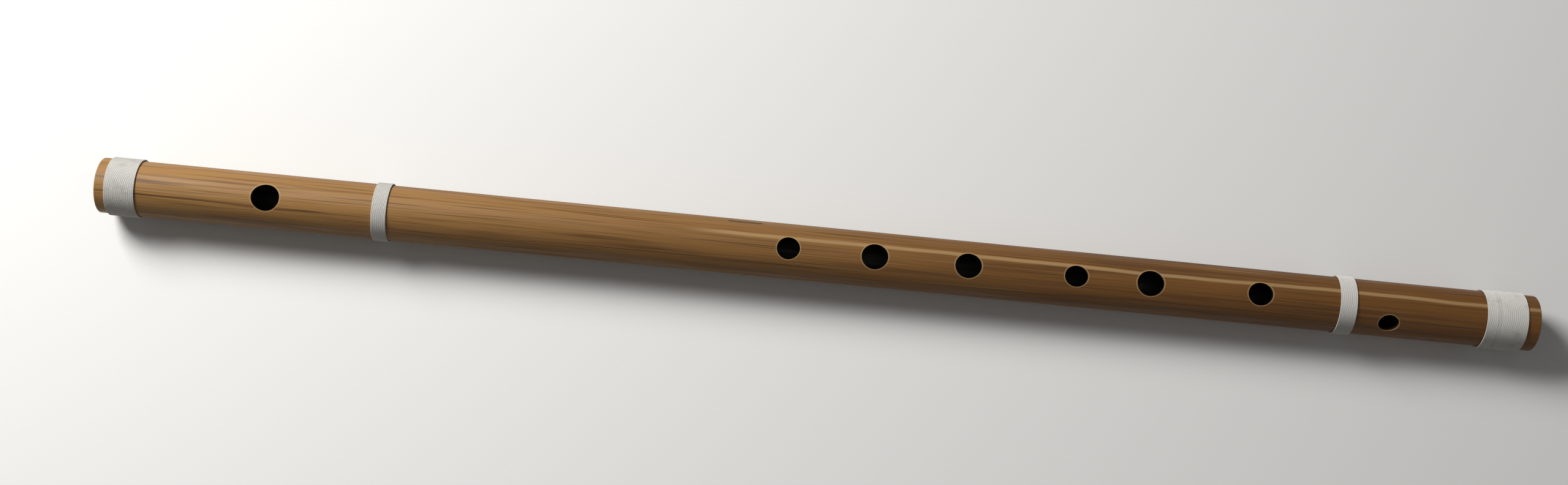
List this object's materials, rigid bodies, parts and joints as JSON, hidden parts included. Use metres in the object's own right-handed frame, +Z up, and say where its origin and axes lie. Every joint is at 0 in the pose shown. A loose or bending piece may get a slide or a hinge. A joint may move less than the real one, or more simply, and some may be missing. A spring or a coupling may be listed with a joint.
{
  "type": "bansuri",
  "caption": "Side-blown bamboo bass flute with a blow hole, finger holes, a turned vent hole, thread bindings along the tube and a sliding cork stopper.",
  "frame": {"origin": "on the surface that the flute lies on, below the middle of its length and its axis", "axes": "+X runs along the tube from the blow-hole end to the foot end, +Z points up through the blow hole and the finger holes, and the vent hole is turned towards -Y"},
  "size_m": [0.711, 0.029, 0.029],
  "materials": {
    "bamboo": "oiled, satin",
    "cork": "matt",
    "thread": "matt, waxed"
  },
  "bodies": {
    "flute": {"bamboo_tube": "bamboo", "head_end_binding": "thread", "head_band_binding": "thread", "foot_band_binding": "thread", "foot_end_binding": "thread"},
    "stopper": {"cork_stopper": "cork"}
  },
  "joints": [
    {"name": "stopper_slide", "type": "slide", "parent": "flute", "child": "stopper", "axis": [1, 0, 0], "range_m": [-0.039, 0.012]}
  ]
}
